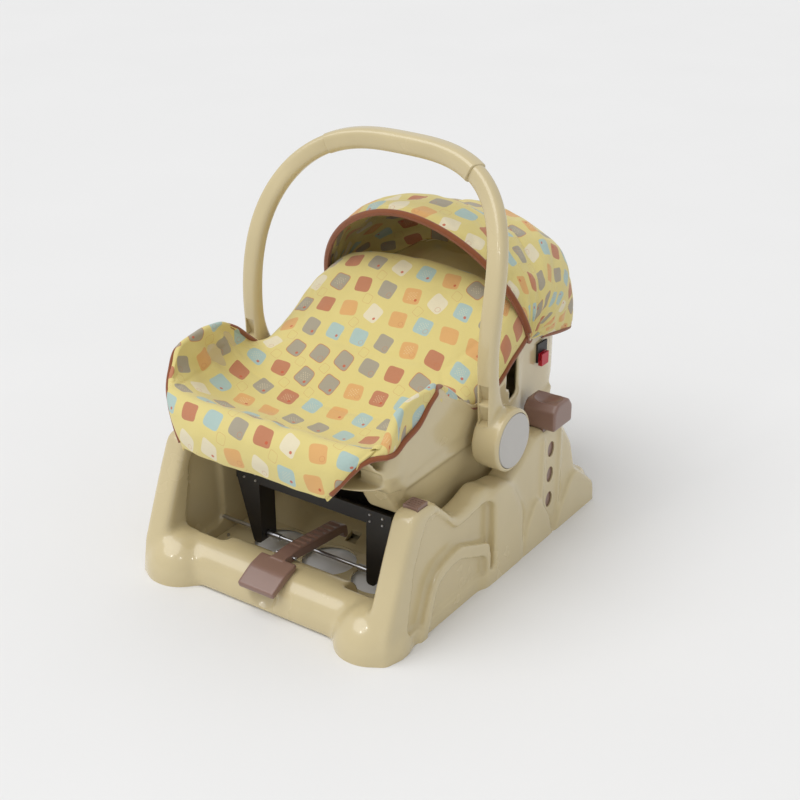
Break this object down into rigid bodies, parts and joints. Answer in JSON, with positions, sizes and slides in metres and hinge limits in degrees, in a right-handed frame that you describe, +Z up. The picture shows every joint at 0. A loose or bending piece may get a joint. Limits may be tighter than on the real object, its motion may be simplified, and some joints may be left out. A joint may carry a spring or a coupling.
{
  "type": "infant car seat",
  "caption": "Rear-facing infant carrier with swinging carry handle and folding fabric hood, docked on a moulded base with latch frame, front release lever and height posts.",
  "frame": {"origin": "on the ground under the middle of the whole object's length and width", "axes": "+Z up, +Y towards the head end (back of the base), +X to the side that is the child's left"},
  "size_m": [0.444, 0.6062, 0.5678],
  "materials": {
    "cream_plastic": "glossy moulded plastic",
    "brown_plastic": "satin moulded plastic",
    "black_plastic": "satin",
    "grey_plastic": "smooth",
    "red_plastic": "smooth",
    "steel": "zinc plated",
    "rubber": "matte",
    "printed_cotton": "printed cotton cloth",
    "binding": "bias binding tape"
  },
  "bodies": {
    "base": {"base_shell": "cream_plastic", "floor_pan": "cream_plastic", "rear_deck": "cream_plastic", "base_screws": "steel", "rubber_feet": "rubber", "support_rod": "steel", "latch_springs": "steel", "lever_pin": "steel", "lever_spring": "steel", "button_spring_left": "steel", "button_spring_right": "steel"},
    "latch": {"latch_frame": "black_plastic"},
    "lever": {"release_lever": "brown_plastic"},
    "button_left": {"side_button_left": "brown_plastic"},
    "button_right": {"side_button_right": "brown_plastic"},
    "height_post_left": {"post_left": "brown_plastic", "post_cap_left": "brown_plastic", "detent_spring_left": "steel"},
    "height_post_right": {"post_right": "brown_plastic", "post_cap_right": "brown_plastic", "detent_spring_right": "steel"},
    "detent_left": {"detent_button_left": "brown_plastic"},
    "detent_right": {"detent_button_right": "brown_plastic"},
    "carrier": {"seat_shell": "cream_plastic", "seat_pad": "printed_cotton", "back_pad": "printed_cotton", "belt_guides": "red_plastic", "belt_guide_plates": "black_plastic", "hub_bosses": "cream_plastic", "hub_pins": "steel", "hood_clips": "cream_plastic"},
    "handle": {"handle_bow": "cream_plastic", "handle_grip": "cream_plastic", "hub_springs": "steel"},
    "hub_left": {"hub_button_left": "grey_plastic"},
    "hub_right": {"hub_button_right": "grey_plastic"},
    "hood": {"hood_hoop": "binding", "hood_cloth": "printed_cotton"}
  },
  "joints": [
    {"name": "latch_swing", "type": "hinge", "parent": "base", "child": "latch", "pos_m": [0, -0.155, 0.031], "axis": [1, 0, 0], "range_deg": [0, 20], "stiffness_Nm_per_rad": 2, "springref_deg": -20.05},
    {"name": "lever_lift", "type": "hinge", "parent": "base", "child": "lever", "pos_m": [0, -0.225, 0.061], "axis": [-1, 0, 0], "range_deg": [0, 9], "stiffness_Nm_per_rad": 0.8, "springref_deg": -20.05},
    {"name": "button_press_left", "type": "slide", "parent": "base", "child": "button_left", "axis": [0, 0, -1], "range_m": [0, 0.004], "stiffness_N_per_m": 600, "springref_m": -0.002, "deforming": ["button_spring_left"]},
    {"name": "button_press_right", "type": "slide", "parent": "base", "child": "button_right", "axis": [0, 0, -1], "range_m": [0, 0.004], "stiffness_N_per_m": 600, "springref_m": -0.002, "deforming": ["button_spring_right"]},
    {"name": "post_raise_left", "type": "slide", "parent": "base", "child": "height_post_left", "axis": [0, 0, 1], "range_m": [0, 0.08]},
    {"name": "post_raise_right", "type": "slide", "parent": "base", "child": "height_post_right", "axis": [0, 0, 1], "range_m": [0, 0.08]},
    {"name": "detent_press_left", "type": "slide", "parent": "height_post_left", "child": "detent_left", "axis": [-1, 0, 0], "range_m": [0, 0.005], "stiffness_N_per_m": 500, "springref_m": -0.002},
    {"name": "detent_press_right", "type": "slide", "parent": "height_post_right", "child": "detent_right", "axis": [1, 0, 0], "range_m": [0, 0.005], "stiffness_N_per_m": 500, "springref_m": -0.002},
    {"name": "carrier_lift", "type": "slide", "parent": "base", "child": "carrier", "axis": [0, 0, 1], "range_m": [0, 0.2]},
    {"name": "handle_swing", "type": "hinge", "parent": "carrier", "child": "handle", "pos_m": [0, -0.018, 0.208], "axis": [1, 0, 0], "range_deg": [-40, 75]},
    {"name": "hub_press_left", "type": "slide", "parent": "handle", "child": "hub_left", "axis": [-1, 0, 0], "range_m": [0, 0.005], "stiffness_N_per_m": 900, "springref_m": -0.002},
    {"name": "hub_press_right", "type": "slide", "parent": "handle", "child": "hub_right", "axis": [1, 0, 0], "range_m": [0, 0.005], "stiffness_N_per_m": 900, "springref_m": -0.002},
    {"name": "hood_fold", "type": "hinge", "parent": "carrier", "child": "hood", "pos_m": [0, 0.103, 0.297], "axis": [-1, 0, 0], "range_deg": [0, 70], "deforming": ["hood_cloth"]}
  ]
}
